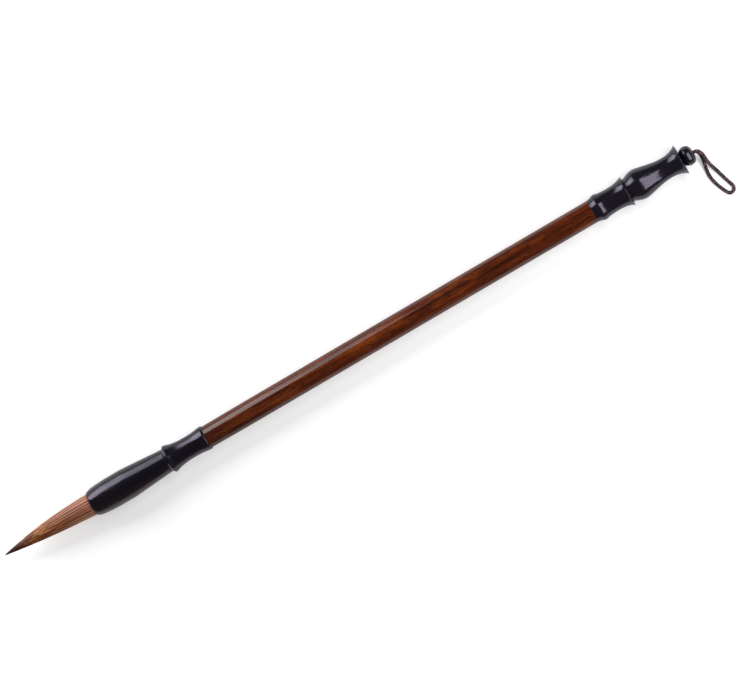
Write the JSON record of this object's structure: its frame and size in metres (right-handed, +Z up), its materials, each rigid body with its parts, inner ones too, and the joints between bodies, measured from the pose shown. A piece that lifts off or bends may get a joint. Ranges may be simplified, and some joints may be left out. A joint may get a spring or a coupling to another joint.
{
  "type": "calligraphy brush",
  "caption": "Pointed calligraphy brush with a turned black horn ferrule, a rosewood shaft, a horn finial with a loose bead, and a hanging loop of cord.",
  "frame": {"origin": "on the surface that the brush lies on, below the middle of the brush measured without its cord and bead", "axes": "+X along the brush from the hair tip to the tail, +Z up, +Y to the left when looking along +X"},
  "size_m": [0.3114, 0.027, 0.0122],
  "materials": {
    "hair": "fine reddish-brown weasel hair with a soft sheen",
    "thread": "twisted cotton thread",
    "rosin": "dark amber rosin, melted",
    "horn": "polished black buffalo horn",
    "rosewood": "lacquered red-brown rosewood with dark grain",
    "dowel_wood": "plain turned hardwood",
    "cord": "dark maroon braided cord"
  },
  "bodies": {
    "handle": {"hair_root": "hair", "root_binding": "thread", "rosin_seal": "rosin", "ferrule_cup": "horn", "ferrule_collar": "horn", "shaft": "rosewood", "tail_collar": "horn", "tail_dowel": "dowel_wood", "tail_bulb": "horn", "stopper_knot": "cord", "cord_stem": "cord"},
    "tuft": {"hair_core": "hair", "hair_middle": "hair", "hair_cover": "hair"},
    "bead": {"bead": "horn"},
    "loop": {"cord_loop": "cord"}
  },
  "joints": [
    {"name": "tuft_flex", "type": "hinge", "parent": "handle", "child": "tuft", "pos_m": [-0.11395, 0, 0.0061], "axis": [0, 0, 1], "range_deg": [-35, 35], "stiffness_Nm_per_rad": 0.0117},
    {"name": "bead_spin", "type": "hinge", "parent": "handle", "child": "bead", "pos_m": [0.152, 0, 0.0061], "axis": [1, 0, 0], "continuous": true},
    {"name": "loop_swing", "type": "hinge", "parent": "handle", "child": "loop", "pos_m": [0.15575, 0, 0.0061], "axis": [0, 0, 1], "range_deg": [-30, 90]}
  ]
}
